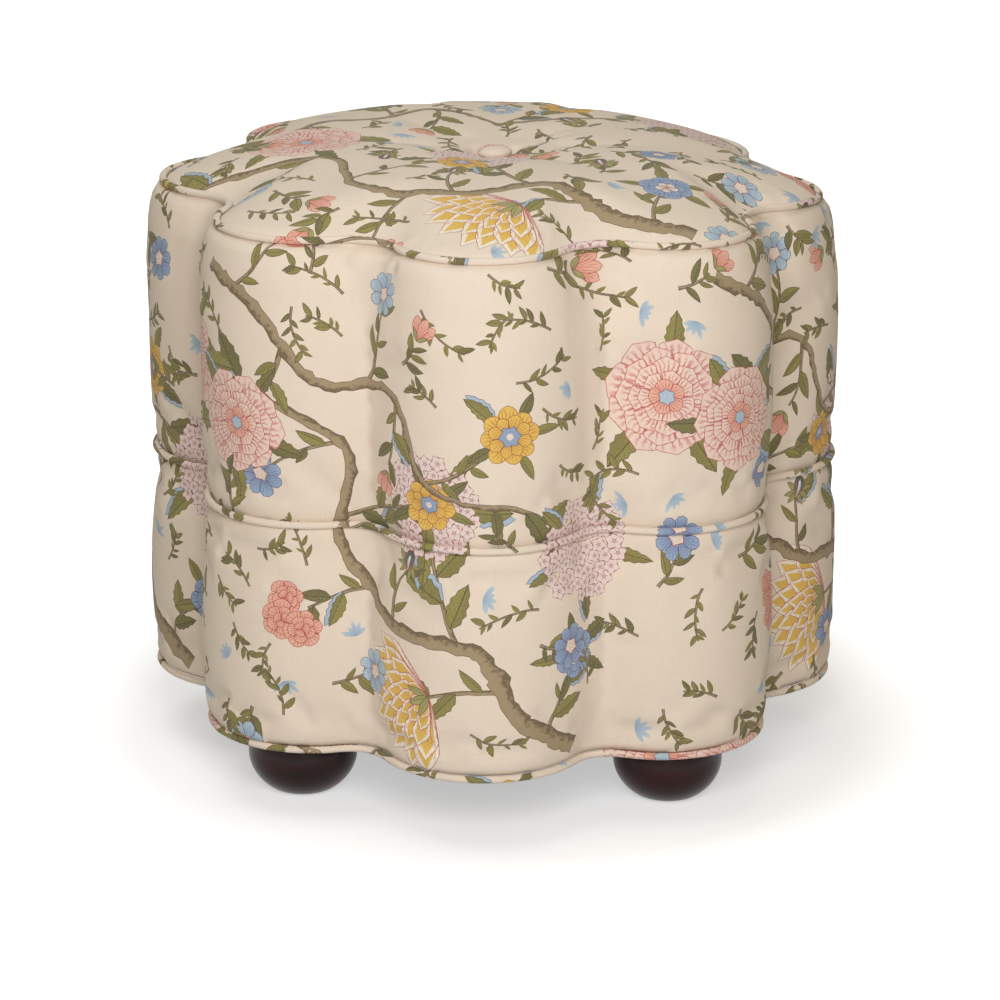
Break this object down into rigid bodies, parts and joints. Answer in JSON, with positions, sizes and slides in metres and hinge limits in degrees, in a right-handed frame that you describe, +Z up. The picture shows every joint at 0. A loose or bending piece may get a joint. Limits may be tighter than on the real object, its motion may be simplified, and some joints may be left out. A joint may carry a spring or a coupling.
{
  "type": "tuffet",
  "caption": "Upholstered scalloped tuffet with a crowned, buttoned top, piped seams and turned bun feet.",
  "frame": {"origin": "on the floor, under the middle of the tuffet", "axes": "+Z up; +X and +Y each run through the tip of a lobe; the feet are on the diagonals"},
  "size_m": [0.5056, 0.5056, 0.4506],
  "materials": {
    "linen": "matte",
    "foot_wood": "gloss",
    "dust_cloth": "matte",
    "plywood": "matte",
    "pine": "matte",
    "toggle_wood": "matte",
    "card": "matte",
    "foam": "matte",
    "wadding": "matte",
    "zinc": "satin",
    "felt": "matte",
    "twine": "matte"
  },
  "bodies": {
    "root": {"top_cover": "linen", "upper_band": "linen", "lower_band": "linen", "top_piping": "linen", "middle_piping": "linen", "bottom_piping": "linen", "button_cover": "linen", "button_cap": "zinc", "button_back": "zinc", "tufting_twine": "twine", "twine_toggle": "toggle_wood", "seat_wadding": "wadding", "seat_foam": "foam", "side_padding_1": "foam", "side_padding_2": "foam", "side_board": "card", "deck_board": "plywood", "middle_former": "plywood", "base_board": "plywood", "dust_cover": "dust_cloth", "post_1": "pine", "post_2": "pine", "post_3": "pine", "post_4": "pine", "post_5": "pine", "post_6": "pine", "post_7": "pine", "post_8": "pine", "base_screw_1": "zinc", "base_screw_2": "zinc", "base_screw_3": "zinc", "base_screw_4": "zinc", "base_screw_5": "zinc", "base_screw_6": "zinc", "base_screw_7": "zinc", "base_screw_8": "zinc", "deck_screw_1": "zinc", "deck_screw_2": "zinc", "deck_screw_3": "zinc", "deck_screw_4": "zinc", "deck_screw_5": "zinc", "deck_screw_6": "zinc", "deck_screw_7": "zinc", "deck_screw_8": "zinc", "foot_1": "foot_wood", "foot_2": "foot_wood", "foot_3": "foot_wood", "foot_4": "foot_wood", "foot_pad_1": "felt", "foot_pad_2": "felt", "foot_pad_3": "felt", "foot_pad_4": "felt", "foot_bolt_1": "zinc", "foot_bolt_2": "zinc", "foot_bolt_3": "zinc", "foot_bolt_4": "zinc", "foot_nut_1": "zinc", "foot_nut_2": "zinc", "foot_nut_3": "zinc", "foot_nut_4": "zinc"}
  },
  "joints": []
}
